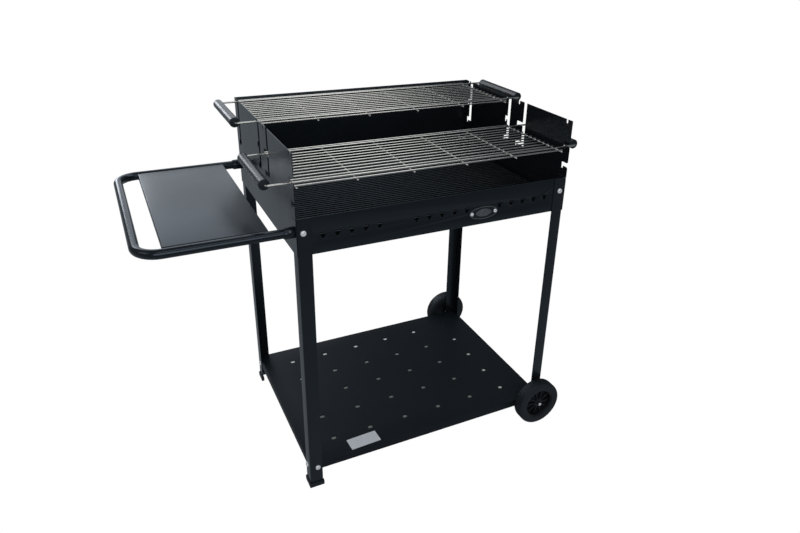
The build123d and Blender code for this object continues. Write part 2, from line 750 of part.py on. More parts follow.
# Oval badge plate with a raised rim, left blank, and its two rivets
with BuildPart() as badge:
    with BuildSketch(Plane.XZ.offset(panel_y)):
        with Locations((box_x + badge_x, badge_z)):
            Ellipse(badge_length / 2, badge_height / 2)
            with GridLocations(rivet_span, 1, 2, 1):
                Circle(rivet_d / 2 + bolt_clear, mode=Mode.SUBTRACT)
    extrude(amount=badge_t)
    with BuildSketch(Plane.XZ.offset(panel_y + badge_t)):
        with Locations((box_x + badge_x, badge_z)):
            Ellipse(badge_length / 2, badge_height / 2)
            Ellipse(badge_length / 2 - badge_rim, badge_height / 2 - badge_rim, mode=Mode.SUBTRACT)
            with GridLocations(rivet_span, 1, 2, 1):
                Circle(rivet_head_d / 2 + bolt_clear, mode=Mode.SUBTRACT)
    extrude(amount=badge_rim_rise)
badge.part.label = "badge"
export_step(badge.part, "parts/badge.step")

rivet_seats = [
    outward(badge_x + s * rivet_span / 2, -panel_y - badge_t, badge_z, (0, -1, 0)) for s in (-1, 1)
]
rivet = dome_screw(rivet_d, badge_t + panel_t + bolt_tail, rivet_head_d, rivet_head)
with BuildPart() as badge_rivets:
    with Locations(*rivet_seats):
        add(rivet)
badge_rivets.part.label = "badge_rivets"
export_step(badge_rivets.part, "parts/badge_rivets.step")
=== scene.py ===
# Charcoal barbecue trolley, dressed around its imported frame: finishes, refined pieces, light and camera.
import math

import bmesh
import bpy
from mathutils import Matrix, Vector


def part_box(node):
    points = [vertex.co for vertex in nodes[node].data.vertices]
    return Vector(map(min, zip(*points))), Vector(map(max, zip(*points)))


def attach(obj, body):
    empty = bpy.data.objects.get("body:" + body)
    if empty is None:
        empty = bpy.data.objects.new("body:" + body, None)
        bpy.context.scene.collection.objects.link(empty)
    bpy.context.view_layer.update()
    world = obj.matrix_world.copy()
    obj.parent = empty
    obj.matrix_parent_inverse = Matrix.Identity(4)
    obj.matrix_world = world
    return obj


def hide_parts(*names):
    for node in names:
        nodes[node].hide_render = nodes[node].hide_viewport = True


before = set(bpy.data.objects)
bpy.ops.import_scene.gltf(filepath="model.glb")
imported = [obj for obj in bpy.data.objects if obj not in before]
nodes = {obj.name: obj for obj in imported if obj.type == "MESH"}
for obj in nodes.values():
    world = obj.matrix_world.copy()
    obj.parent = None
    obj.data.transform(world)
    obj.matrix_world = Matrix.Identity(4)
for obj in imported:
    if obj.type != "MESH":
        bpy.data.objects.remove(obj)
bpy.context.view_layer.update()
scene = bpy.context.scene
scene.view_settings.view_transform = "Standard"
bpy.ops.object.select_all(action="DESELECT")
mm = 0.001
near = 0.01 * mm  # lies on a plane of the CAD
level = 0.9  # share of a normal that counts as facing up or down
shelfLow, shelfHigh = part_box("shelf")
boxX = (shelfLow.x + shelfHigh.x) / 2  # middle of the firebox
print("frame loaded,", len(nodes), "nodes")


def newFinish(name):
    finish = bpy.data.materials.new(name)
    finish.use_nodes = True
    tree = finish.node_tree
    tree.nodes.clear()
    out = tree.nodes.new("ShaderNodeOutputMaterial")
    shader = tree.nodes.new("ShaderNodeBsdfPrincipled")
    tree.links.new(shader.outputs["BSDF"], out.inputs["Surface"])
    place = tree.nodes.new("ShaderNodeTexCoord").outputs["Object"]
    return finish, tree, shader, place


def noiseOn(tree, place, scale, detail=2.0, rough=0.5):
    noise = tree.nodes.new("ShaderNodeTexNoise")
    noise.inputs["Scale"].default_value = scale
    noise.inputs["Detail"].default_value = detail
    noise.inputs["Roughness"].default_value = rough
    tree.links.new(place, noise.inputs["Vector"])
    return noise.outputs["Fac"]


def stretched(tree, place, size):
    mapping = tree.nodes.new("ShaderNodeMapping")
    mapping.inputs["Scale"].default_value = size
    tree.links.new(place, mapping.inputs["Vector"])
    return mapping.outputs["Vector"]


def spread(tree, value, low, high, start=0.3, end=0.7):
    span = tree.nodes.new("ShaderNodeMapRange")
    span.inputs["From Min"].default_value = start
    span.inputs["From Max"].default_value = end
    span.inputs["To Min"].default_value = low
    span.inputs["To Max"].default_value = high
    tree.links.new(value, span.inputs["Value"])
    return span.outputs["Result"]


def twoTone(tree, value, first, second):
    tones = tree.nodes.new("ShaderNodeMix")
    tones.data_type = "RGBA"
    tones.inputs["A"].default_value = (*first, 1.0)
    tones.inputs["B"].default_value = (*second, 1.0)
    tree.links.new(value, tones.inputs["Factor"])
    return tones.outputs["Result"]


def calc(tree, operation, first, second):
    maths = tree.nodes.new("ShaderNodeMath")
    maths.operation = operation
    for socket, value in zip(maths.inputs, (first, second)):
        if isinstance(value, (int, float)):
            socket.default_value = value
        else:
            tree.links.new(value, socket)
    return maths.outputs["Value"]


def axesOf(tree, place):
    apart = tree.nodes.new("ShaderNodeSeparateXYZ")
    tree.links.new(place, apart.inputs["Vector"])
    return apart.outputs


def band(tree, value, low, high, soft):  # 1 from low to high, fading to 0 on both sides
    rise = spread(tree, value, 0.0, 1.0, low - soft, low)
    fall = spread(tree, value, 1.0, 0.0, high, high + soft)
    return calc(tree, "MULTIPLY", rise, fall)


def relief(tree, shader, value, depth, strength):
    bump = tree.nodes.new("ShaderNodeBump")
    bump.inputs["Distance"].default_value = depth
    bump.inputs["Strength"].default_value = strength
    tree.links.new(value, bump.inputs["Height"])
    tree.links.new(bump.outputs["Normal"], shader.inputs["Normal"])


# One entry per finish: two tones, roughness range, metal share, patch and grain scale per metre, grain depth and lift
paint = dict(
    tones=((0.0056, 0.0070, 0.0088), (0.0078, 0.0095, 0.0115)), rough=(0.22, 0.28), metal=0.0,
    grain=700.0, depth=0.00005, lift=0.06, patch=7.0, tint=(0.72, 0.86, 1.0),
)
plating = dict(
    tones=((0.84, 0.86, 0.87), (0.93, 0.94, 0.95)), rough=(0.22, 0.32), metal=0.4,
    grain=900.0, depth=0.00008, lift=0.2, patch=140.0,
)
plainTint = (1.0, 1.0, 1.0)
coolTint = (0.74, 0.87, 1.0)
plainGloss = 0.5
patchNoise = dict(detail=3.0, rough=0.55)
finishes = {
    "satinPaint": paint,
    "tubePaint": dict(paint, rough=(0.15, 0.19), lift=0.01),
    "tablePaint": dict(paint, rough=(0.28, 0.33)),
    # painted sheen: a less glossy copy of the paint, its lighter tone standing in for the light the shelf reflects
    # less
    "shelfPaint": dict(
        paint, tones=((0.0098, 0.0122, 0.0150), (0.0116, 0.0143, 0.0175)), rough=(0.38, 0.46), gloss=0.13,
    ),
    # painted shade: near-black, matt paint on the firebox floor and grate ledges for the shade inside the firebox
    "fireboxShadePaint": dict(
        tones=((0.0016, 0.0018, 0.0020), (0.0026, 0.0028, 0.0030)), rough=(0.60, 0.75), metal=0.0,
        grain=500.0, depth=0.0002, lift=0.3, patch=12.0, gloss=0.04,
    ),
    "grateWire": dict(
        tones=((0.0105, 0.0117, 0.0129), (0.0170, 0.0184, 0.0198)), rough=(0.22, 0.32), metal=0.0,
        grain=420.0, depth=0.0001, lift=0.08, patch=14.0, tint=coolTint,
    ),
    "gridWire": dict(
        tones=((0.61, 0.585, 0.535), (0.67, 0.645, 0.595)), rough=(0.13, 0.17), metal=1.0,
        grain=300.0, depth=0.00002, lift=0.02, patch=4.0,
        # cross: height bands of the cross wires, which wear a painted highlight colour with less metal
        cross=((0.8570, 0.8606), (0.9220, 0.9256)), crossBlur=0.0002, crossHighlightTone=(0.88, 0.88, 0.86), crossHighlightMetal=0.45,
    ),
    "gripSleeve": dict(
        tones=((0.016, 0.0175, 0.019), (0.023, 0.0248, 0.0265)), rough=(0.24, 0.32), metal=0.0,
        grain=900.0, depth=0.00005, lift=0.02, patch=30.0,
    ),
    "blackPlastic": dict(
        tones=((0.0045, 0.0050, 0.0056), (0.0085, 0.0090, 0.0097)), rough=(0.42, 0.56), metal=0.0,
        grain=900.0, depth=0.0002, lift=0.3, patch=25.0, tint=coolTint,
    ),
    "tyre": dict(
        tones=((0.0065, 0.0074, 0.0078), (0.0110, 0.0120, 0.0125)), rough=(0.50, 0.66), metal=0.0,
        grain=600.0, depth=0.0002, lift=0.35, patch=18.0, tint=coolTint,
    ),
    "zinc": plating,
    "axleCap": dict(plating, cap=(345.0, 70.0, 4.6), capBlur=0.4, rimTone=(0.02, 0.022, 0.024)),
    "darkZinc": dict(
        plating, tones=((0.10, 0.11, 0.125), (0.18, 0.19, 0.21)), rough=(0.32, 0.46), metal=1.0,
    ),
}


def paintCrossHighlight(tree, shader, place, base, look):  # the cross wires lie lowest; painted highlight: they get a lighter, less metallic colour for the light they catch from the back
    height = axesOf(tree, place)["Z"]
    low = 0.0
    for start, end in look["cross"]:
        low = calc(tree, "MAXIMUM", band(tree, height, start, end, look["crossBlur"]), low)
    tones = twoTone(tree, low, look["crossHighlightTone"], look["crossHighlightTone"])
    tree.links.new(base, tones.node.inputs["A"])
    tree.links.new(spread(tree, low, look["metal"], look["crossHighlightMetal"], 0.0, 1.0), shader.inputs["Metallic"])
    return tones


def capCentre(tree, place, base, look):  # bright in the middle of the axle's end, dark round it
    across, up, radius = look["cap"]
    blur = look["capBlur"]
    apart = axesOf(tree, place)
    sides = [
        calc(tree, "SUBTRACT", apart["X"], boxX + across * mm),
        calc(tree, "SUBTRACT", apart["Z"], up * mm),
    ]
    squares = [calc(tree, "MULTIPLY", side, side) for side in sides]
    away = calc(tree, "SQRT", calc(tree, "ADD", *squares), 0.0)
    middle = spread(tree, away, 1.0, 0.0, (radius - blur) * mm, (radius + blur) * mm)
    tones = twoTone(tree, middle, look["rimTone"], look["rimTone"])
    tree.links.new(base, tones.node.inputs["B"])
    return tones


def buildFinish(name):
    look = finishes[name]
    finish, tree, shader, place = newFinish(name)
    patches = noiseOn(tree, place, look["patch"], **patchNoise)
    grain = noiseOn(tree, place, look["grain"])
    base = twoTone(tree, patches, *look["tones"])
    shader.inputs["Metallic"].default_value = look["metal"]
    if "cross" in look:
        base = paintCrossHighlight(tree, shader, place, base, look)
    if "cap" in look:
        base = capCentre(tree, place, base, look)
    tree.links.new(base, shader.inputs["Base Color"])
    tree.links.new(spread(tree, patches, *look["rough"]), shader.inputs["Roughness"])
    shader.inputs["Specular Tint"].default_value = (*look.get("tint", plainTint), 1.0)
    shader.inputs["Specular IOR Level"].default_value = look.get("gloss", plainGloss)
    relief(tree, shader, grain, look["depth"], look["lift"])
    return finish


made = {name: buildFinish(name) for name in finishes}

# Which CAD node wears which finish
wear = {
    "gridWire": ["front_grid_rod", "rear_grid_rod", "front_grid_wires", "rear_grid_wires"],
    "grateWire": ["charcoal_grate"],
    "gripSleeve": ["front_left_grip", "front_right_grip", "rear_left_grip", "rear_right_grip"],
    "blackPlastic": [
        "front_left_grip_plugs", "front_right_grip_plugs", "rear_left_grip_plugs", "rear_right_grip_plugs",
        "front_left_foot", "rear_left_foot", "front_hub", "rear_hub",
    ],
    "tyre": ["front_tyre", "rear_tyre"],
    "zinc": [
        "leg_bolts", "leg_nuts", "socket_bolts", "shelf_bolts", "shelf_nuts",
        "axle", "axle_washers", "badge_rivets",
    ],
    "darkZinc": ["socket_screws"],
    "axleCap": ["axle_nuts"],
    "tubePaint": ["table_frame"],
    "fireboxShadePaint": ["firebox_floor", "front_grate_ledge", "rear_grate_ledge"],
}
finishOf = {node: name for name, worn in wear.items() for node in worn}
for nodeName, part in nodes.items():
    part.data.materials.clear()
    part.data.materials.append(made[finishOf.get(nodeName, "satinPaint")])
print("finishes on the frame:", len(finishOf), "named, the rest painted")


def begin(piece=None):  # only this piece selected and active
    if bpy.context.mode != "OBJECT":
        bpy.ops.object.mode_set(mode="OBJECT")
    bpy.ops.object.select_all(action="DESELECT")
    if piece:
        piece.select_set(True)
        bpy.context.view_layer.objects.active = piece


def openEdit(piece, kind="FACE"):
    begin(piece)
    bpy.ops.object.mode_set(mode="EDIT")
    bpy.ops.mesh.select_mode(type=kind)
    bpy.ops.mesh.select_all(action="DESELECT")


def pickFaces(piece, test):  # by middle and normal
    shape = bmesh.from_edit_mesh(piece.data)
    for face in shape.faces:
        face.select_set(bool(test(face.calc_center_median(), face.normal)))
    bmesh.update_edit_mesh(piece.data)


def pickEdges(piece, test):  # by both ends
    shape = bmesh.from_edit_mesh(piece.data)
    for edge in shape.edges:
        edge.select_set(bool(test(edge.verts[0].co, edge.verts[1].co)))
    bmesh.update_edit_mesh(piece.data)


def pickPoints(piece, test):
    shape = bmesh.from_edit_mesh(piece.data)
    for point in shape.verts:
        point.select_set(bool(test(point.co)))
    bmesh.update_edit_mesh(piece.data)


def applyAll(piece):
    begin(piece)
    for change in list(piece.modifiers):
        bpy.ops.object.modifier_apply(modifier=change.name)


def softEdges(piece, width, segments=2, angle=40.0):
    bevel = piece.modifiers.new("softEdges", "BEVEL")
    bevel.width = width * mm
    bevel.segments = segments
    bevel.limit_method = "ANGLE"
    bevel.angle_limit = math.radians(angle)
    applyAll(piece)


def thicken(piece, thick, offset):
    wall = piece.modifiers.new("sheet", "SOLIDIFY")
    wall.thickness = thick * mm
    wall.offset = offset
    wall.use_even_offset = True
    applyAll(piece)


def cutOut(piece, tool):  # the tool goes with the cut
    cut = piece.modifiers.new("cut", "BOOLEAN")
    cut.operation = "DIFFERENCE"
    cut.solver = "EXACT"
    cut.object = tool
    applyAll(piece)
    discard(tool)


def smooth(piece, angle=38.0):
    begin(piece)
    bpy.ops.object.shade_smooth_by_angle(angle=math.radians(angle))


def settle(piece, at=(0, 0, 0), turn=(0, 0, 0)):  # place and turn go into the mesh
    piece.location = at
    piece.rotation_euler = [math.radians(angle) for angle in turn]
    begin(piece)
    bpy.ops.object.transform_apply(location=True, rotation=True, scale=True)


def twin(piece, name, at=(0, 0, 0), turn=(0, 0, 0)):
    other = bpy.data.objects.new(name, piece.data.copy())
    scene.collection.objects.link(other)
    settle(other, at, turn)
    return other


def joinAll(name, pieces):
    begin(pieces[0])
    for piece in pieces:
        piece.select_set(True)
    bpy.ops.object.join()
    whole = bpy.context.active_object
    whole.name = name
    return whole


def discard(piece):
    bpy.data.objects.remove(piece)


def dress(piece, finish, body, slot, *replaced):
    piece.data.materials.clear()
    piece.data.materials.append(made[finish])
    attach(piece, body)
    if replaced:
        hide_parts(*replaced)


def block(name, low, high):  # a cube brought to its size and place, in mm from the firebox middle
    begin()
    middle = [(a + b) / 2 * mm for a, b in zip(low, high)]
    bpy.ops.mesh.primitive_cube_add(size=1.0, location=(boxX + middle[0], middle[1], middle[2]))
    piece = bpy.context.active_object
    piece.name = name
    piece.scale = [(b - a) * mm for a, b in zip(low, high)]
    bpy.ops.object.transform_apply(location=True, rotation=True, scale=True)
    return piece


# Gaps in m below which doubles merge, and the angle in degrees below which CAD faces count as one flat
weld = dict(turned=0.000002, cad=0.00001, flat=0.5)


def turned(name, rings, sides, capFirst=False, capLast=False):  # each ring is pulled out of the one before
    begin()
    radius, height = rings[0]
    bpy.ops.mesh.primitive_circle_add(vertices=sides, radius=radius * mm, location=(0, 0, height * mm))
    piece = bpy.context.active_object
    piece.name = name
    bpy.ops.object.transform_apply(location=True, rotation=True, scale=True)
    bpy.ops.object.mode_set(mode="EDIT")
    bpy.ops.mesh.select_mode(type="EDGE")
    bpy.ops.mesh.select_all(action="SELECT")
    if capFirst:
        bpy.ops.mesh.edge_face_add()
    for nextRadius, nextHeight in rings[1:]:
        bpy.ops.mesh.extrude_edges_move(TRANSFORM_OT_translate=dict(value=(0, 0, (nextHeight - height) * mm)))
        grow = nextRadius / radius
        bpy.ops.transform.resize(value=(grow, grow, 1), center_override=(0, 0, nextHeight * mm))
        radius, height = nextRadius, nextHeight
    if capLast:
        bpy.ops.mesh.edge_face_add()
    bpy.ops.mesh.select_all(action="SELECT")
    bpy.ops.mesh.remove_doubles(threshold=weld["turned"])
    bpy.ops.mesh.normals_make_consistent(inside=False)
    bpy.ops.object.mode_set(mode="OBJECT")
    return piece


def mergedCopy(nodeName, name):  # the CAD node's own mesh stays as it is
    piece = bpy.data.objects.new(name, nodes[nodeName].data.copy())
    scene.collection.objects.link(piece)
    openEdit(piece)
    bpy.ops.mesh.select_all(action="SELECT")
    bpy.ops.mesh.remove_doubles(threshold=weld["cad"])
    bpy.ops.mesh.dissolve_limited(angle_limit=math.radians(weld["flat"]))
    begin(piece)
    if piece.data.has_custom_normals:
        bpy.ops.mesh.customdata_custom_splitnormals_clear()
    return piece


# Wheels: grooved tyre, dished hub with ten ribs
wheel = dict(
    reach=345.0, axle=70.0, inner=277.3, sides=88, grooveDepth=2.0, grooveFrom=68.9, tyreSmooth=42.0,
    hubSides=60, hubSmooth=35.0, ribs=10, rib=(10.0, 44.0, 3.0), ribFoot=18.5, ribTop=(30.0, 27.0), ribEdge=0.6,
    tyre=[(47, 0.6), (48.5, 0), (62.5, 0), (66.5, 0.7), (68.8, 2.3), (69.7, 4.4), (70, 6.6), (70, 29.4), (69.7, 31.6),
          (68.8, 33.7), (66.5, 35.3), (62.5, 36), (50.5, 36), (49.5, 35.2), (48, 35.2), (47, 34.6), (47, 0.6)],
    hub=[(4.05, 0), (11.7, 0), (12.5, 0.8), (12.5, 16), (43, 16), (43, 3.6), (43.6, 3), (46.95, 3), (46.95, 33),
         (43.6, 33), (43, 32.4), (43, 20), (15.5, 20), (12.5, 22), (12.5, 30.2), (11.7, 31), (4.05, 31), (4.05, 0)],
)


def makeTyre():
    tyre = turned("tyre_shape", wheel["tyre"], wheel["sides"])
    openEdit(tyre)
    step = 2 * math.pi / wheel["sides"]
    pickFaces(tyre, lambda c, n: math.hypot(c.x, c.y) > wheel["grooveFrom"] * mm
              and round(math.atan2(c.y, c.x) / step - 0.5) % 2)  # every other face round the tread
    bpy.ops.mesh.extrude_region_shrink_fatten(TRANSFORM_OT_shrink_fatten=dict(value=-wheel["grooveDepth"] * mm))
    begin(tyre)
    smooth(tyre, wheel["tyreSmooth"])
    return tyre


def makeHub():
    hub = turned("hub_shape", wheel["hub"], wheel["hubSides"])
    start, end, thick = wheel["rib"]
    tall, short = wheel["ribTop"]
    rib = block("rib_shape", (start, -thick / 2, wheel["ribFoot"]), (end, thick / 2, tall))
    settle(rib, (-boxX, 0, 0))
    openEdit(rib, "EDGE")
    pickEdges(rib, lambda a, b: min(a.x, b.x) > (end - 1) * mm and min(a.z, b.z) > (tall - 1) * mm)
    bpy.ops.transform.translate(value=(0, 0, (short - tall) * mm))
    begin(rib)
    softEdges(rib, wheel["ribEdge"])
    spokes = [twin(rib, f"rib_{i}", turn=(0, 0, 360.0 / wheel["ribs"] * i)) for i in range(wheel["ribs"])]
    discard(rib)
    hub = joinAll("hub_shape", [hub] + spokes)
    smooth(hub, wheel["hubSmooth"])
    return hub


tyreShape, hubShape = makeTyre(), makeHub()
for end, side in (("front", -1), ("rear", 1)):
    spot = (boxX + wheel["reach"] * mm, side * wheel["inner"] * mm, wheel["axle"] * mm)
    lie = (-90.0 * side, 0, 0)
    body = f"{end}_wheel"
    dress(twin(tyreShape, f"{end}_wheel_tyre", spot, lie), "tyre", body, "tyre", f"{end}_tyre")
    dress(twin(hubShape, f"{end}_wheel_hub", spot, lie), "blackPlastic", body, "black_plastic", f"{end}_hub")
discard(tyreShape)
discard(hubShape)
print("wheels done")

# Grips: a sleeve over the rod with a rounded plug in each end
grip = dict(
    sides=40,
    sleeve=[(10.5, -100), (11.8, -100), (12.35, -99.3), (12.35, 99.3), (11.8, 100), (10.5, 100), (10.5, -100)],
    plug=[(2.55, 92), (10.4, 92), (10.4, 100), (12.1, 100), (12.5, 100.4), (12.5, 100.9), (12.1, 101.6),
          (11.1, 102), (6.2, 102), (5.6, 101.5), (4.2, 101.5), (2.55, 101.9), (2.55, 92)],
)
sleeveShape = turned("sleeve_shape", grip["sleeve"], grip["sides"])
plugShape = turned("plug_shape", grip["plug"], grip["sides"])
smooth(sleeveShape)
smooth(plugShape)
for end in ("front", "rear"):
    for side in ("left", "right"):
        nodeName = f"{end}_{side}_grip"
        low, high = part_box(nodeName)
        spot = (low + high) / 2
        sleeve = twin(sleeveShape, f"{nodeName}_sleeve", spot, (90, 0, 0))
        dress(sleeve, "gripSleeve", nodeName, "grip_sleeve", nodeName)
        pair = [twin(plugShape, f"plug_{angle}", spot, (angle, 0, 0)) for angle in (90, -90)]
        dress(joinAll(f"{nodeName}_ends", pair), "blackPlastic", nodeName, "black_plastic", f"{nodeName}_plugs")
discard(sleeveShape)
discard(plugShape)
print("grips done")

# Pan-head screws with a cross recess. The spots are mm from the firebox middle, each with the side it faces
panScrew = dict(
    sides=28,
    rings=[(3, -9.7), (3, 0), (7, 0), (7, 0.9), (6.7, 1.9), (6.0, 2.8), (4.9, 3.45), (3.4, 3.85), (1.5, 4.0)],
    top=4.0, recess=(8.0, 2.0, 2.6), recessTop=6.0, taper=(0.45, 0.7, 1), smooth=30.0,
    legTwist=20.0, shelfTwist=65.0, twistStep=37.0,
    front=(90, 0, 0), rear=(-90, 0, 0), right=(0, 90, 0), left=(0, -90, 0),
    legSpots=[(x, y, 749.0, "front" if y < 0 else "rear") for x in (-353.5, 353.5) for y in (-275.0, 275.0)]
    + [(370.0, y, 749.0, "right") for y in (-258.5, 258.5)],
    shelfSpots=[(-347.0, y, 62.0, "front" if y < 0 else "rear") for y in (-275.0, 275.0)]
    + [(x, y, 62.0, "left" if x < 0 else "right") for x in (-368.5, 368.5) for y in (-252.0, 252.0)],
)


def makePanScrew():
    screw = turned("pan_screw", panScrew["rings"], panScrew["sides"], True, True)
    length, width, depth = panScrew["recess"]
    floor = panScrew["top"] - depth
    cutter = block("recess_cutter", (-length / 2, -width / 2, floor), (length / 2, width / 2, panScrew["recessTop"]))
    settle(cutter, (-boxX, 0, 0))
    openEdit(cutter)
    pickFaces(cutter, lambda c, n: n.z < -level)
    bpy.ops.transform.resize(value=panScrew["taper"], center_override=(0, 0, floor * mm))
    begin(cutter)
    across = twin(cutter, "recess_across", turn=(0, 0, 90))
    for tool in (cutter, across):
        cutOut(screw, tool)
    smooth(screw, panScrew["smooth"])
    return screw


def driveScrews(name, shape, spots, twist):
    driven = []
    for i, (x, y, z, face) in enumerate(spots):
        screw = twin(shape, f"{name}_{i}", turn=(0, 0, twist + panScrew["twistStep"] * i))
        settle(screw, (boxX + x * mm, y * mm, z * mm), panScrew[face])
        driven.append(screw)
    return joinAll(name, driven)


panShape = makePanScrew()
legHeads = driveScrews("leg_bolt_heads", panShape, panScrew["legSpots"], panScrew["legTwist"])
dress(legHeads, "zinc", "stand", "zinc", "leg_bolts")
shelfHeads = driveScrews("shelf_bolt_heads", panShape, panScrew["shelfSpots"], panScrew["shelfTwist"])
dress(shelfHeads, "zinc", "stand", "zinc", "shelf_bolts")
print("bolts done")

# Table sockets and their small screws, which sit on the upper outer side
socket = dict(
    sides=44, reach=370.0, height=749.0, across=258.5, radius=13.5, screwIn=11.667, screwLean=55.0, shrink=0.571,
    rings=[(3.2, 0), (13.2, 0), (13.5, 0.4), (13.5, 23.2), (13.2, 24.4), (12.3, 25), (11.1, 25), (11.1, 5),
           (3.2, 5), (3.2, 0)],
)
socketShape = turned("socket_shape", socket["rings"], socket["sides"])
smooth(socketShape)
smallScrews = []
for end, side in (("front", -1), ("rear", 1)):
    spot = Vector((boxX - socket["reach"] * mm, side * socket["across"] * mm, socket["height"] * mm))
    piece = twin(socketShape, f"{end}_socket_cup", spot, (0, -90, 0))
    dress(piece, "satinPaint", "stand", "black_paint", f"{end}_table_socket")
    lean = math.radians(socket["screwLean"])
    out = socket["radius"] * mm
    small = twin(panShape, f"{end}_small_screw")
    small.scale = [socket["shrink"]] * 3
    seat = spot + Vector((-socket["screwIn"] * mm, side * math.sin(lean) * out, math.cos(lean) * out))
    settle(small, seat, (-side * socket["screwLean"], 0, 0))
    smallScrews.append(small)
dress(joinAll("socket_screw_heads", smallScrews), "darkZinc", "stand", "zinc", "socket_screws")
discard(socketShape)
discard(panShape)
print("sockets done")


# Folded trays, a table plate and a pierced shelf: a box with its bottom left open, given the sheet's thickness
def upright(a, b):
    return abs(a.z - b.z) > 1 * mm


def foldTray(name, tray):
    sheet = block(name, tray["low"], tray["high"])
    top = tray["high"][2] * mm
    openEdit(sheet, "EDGE")
    pickEdges(sheet, lambda a, b: upright(a, b) or min(a.z, b.z) > top - near)
    bpy.ops.mesh.bevel(offset=tray["bend"] * mm, segments=4, affect="EDGES")
    bpy.ops.mesh.select_mode(type="FACE")
    pickFaces(sheet, lambda c, n: n.z < -level)
    bpy.ops.mesh.delete(type="FACE")
    begin(sheet)
    thicken(sheet, tray["thick"], -1.0)
    return sheet


traySmooth = 30.0
tablePlate = dict(low=(-647.0, -247.4, 744.0), high=(-424.0, 247.4, 758.0), bend=2.0, thick=1.2)
plate = foldTray("table_top", tablePlate)
smooth(plate, traySmooth)
dress(plate, "tablePaint", "stand", "black_paint", "table_plate")

shelfTray = dict(
    low=(-366.5, -273.0, 54.0), high=(366.5, 273.0, 76.0), bend=1.8, thick=1.2,
    hole=13.0, corner=0.8, punch=(70.0, 80.0), lip=(72.0, 74.8), lipThick=0.9, across=(110.0, 6), along=(99.0, 5),
)


def roundSquare(name, low, high):
    half = shelfTray["hole"] / 2
    piece = block(name, (-half, -half, low), (half, half, high))
    openEdit(piece, "EDGE")
    pickEdges(piece, upright)
    bpy.ops.mesh.bevel(offset=shelfTray["corner"] * mm, segments=2, affect="EDGES")
    begin(piece)
    return piece


def atHoles(piece):
    (stepX, countX), (stepY, countY) = shelfTray["across"], shelfTray["along"]
    copies = []
    for i in range(countX):
        for j in range(countY):
            spot = ((i - (countX - 1) / 2) * stepX * mm, (j - (countY - 1) / 2) * stepY * mm, 0)
            copies.append(twin(piece, f"{piece.name}_{i}_{j}", spot))
    discard(piece)
    return copies


def makeLip():  # the punched edge, turned down
    lip = roundSquare("hole_lip", *shelfTray["lip"])
    openEdit(lip)
    pickFaces(lip, lambda c, n: abs(n.z) > level)
    bpy.ops.mesh.delete(type="FACE")
    begin(lip)
    thicken(lip, shelfTray["lipThick"], 1.0)
    return lip


def pierceShelf(tray):
    cutOut(tray, joinAll("hole_punch", atHoles(roundSquare("hole_tool", *shelfTray["punch"]))))
    return joinAll(tray.name, [tray] + atHoles(makeLip()))


shelf = pierceShelf(foldTray("shelf_tray", shelfTray))
smooth(shelf, traySmooth)
dress(shelf, "shelfPaint", "stand", "black_paint", "shelf")
print("table plate and shelf done")

# Angle legs: two sides of a square pulled up, with a round bend and a sheet's thickness
leg = dict(side=34.0, thick=2.0, bend=3.0, top=785.0, outX=368.5, outY=275.0, smooth=40.0)
# Side in x and y, turn about the upright and height of the lower end
legPlaces = {
    "front_left": (-1, -1, 0, 3.0), "front_right": (1, -1, 90, 50.0),
    "rear_right": (1, 1, 180, 50.0), "rear_left": (-1, 1, 270, 3.0),
}


def makeLeg(name, bottom):
    begin()
    side = leg["side"] * mm
    bpy.ops.mesh.primitive_plane_add(size=side, location=(side / 2, side / 2, bottom * mm))
    angle = bpy.context.active_object
    angle.name = name
    bpy.ops.object.transform_apply(location=True, rotation=True, scale=True)
    openEdit(angle, "VERT")
    pickPoints(angle, lambda p: min(p.x, p.y) > side / 2)
    bpy.ops.mesh.delete(type="VERT")  # the inner corner goes, two sides stay
    pickPoints(angle, lambda p: max(p.x, p.y) < side / 2)
    bpy.ops.mesh.bevel(offset=leg["bend"] * mm, segments=5, affect="VERTICES")
    bpy.ops.mesh.select_mode(type="EDGE")
    bpy.ops.mesh.select_all(action="SELECT")
    bpy.ops.mesh.extrude_edges_move(TRANSFORM_OT_translate=dict(value=(0, 0, (leg["top"] - bottom) * mm)))
    bpy.ops.mesh.select_all(action="SELECT")
    bpy.ops.mesh.normals_make_consistent(inside=False)
    begin(angle)
    outward = sum((face.normal.x + face.normal.y) * face.area for face in angle.data.polygons)
    thicken(angle, leg["thick"], -1.0 if outward < 0 else 1.0)
    smooth(angle, leg["smooth"])
    return angle


for place, (sx, sy, spin, bottom) in legPlaces.items():
    angle = makeLeg(f"{place}_angle", bottom)
    settle(angle, (boxX + sx * leg["outX"] * mm, sy * leg["outY"] * mm, 0), (0, 0, spin))
    dress(angle, "satinPaint", "stand", "black_paint", f"{place}_leg")
print("legs done")

# Front and rear panel: the CAD sheet with a rounded hem and a rounded fold at the bottom
panelSmooth = 30.0
panels = {
    "front_panel": dict(hemZ=785.0, hem=1.3, foldZ=692.0, foldY=-273.0, fold=1.4, holes=(700.0, 765.0), rim=0.9),
    "rear_panel": dict(hemZ=937.0, hem=1.3, foldZ=692.0, foldY=273.0, fold=1.4),
}


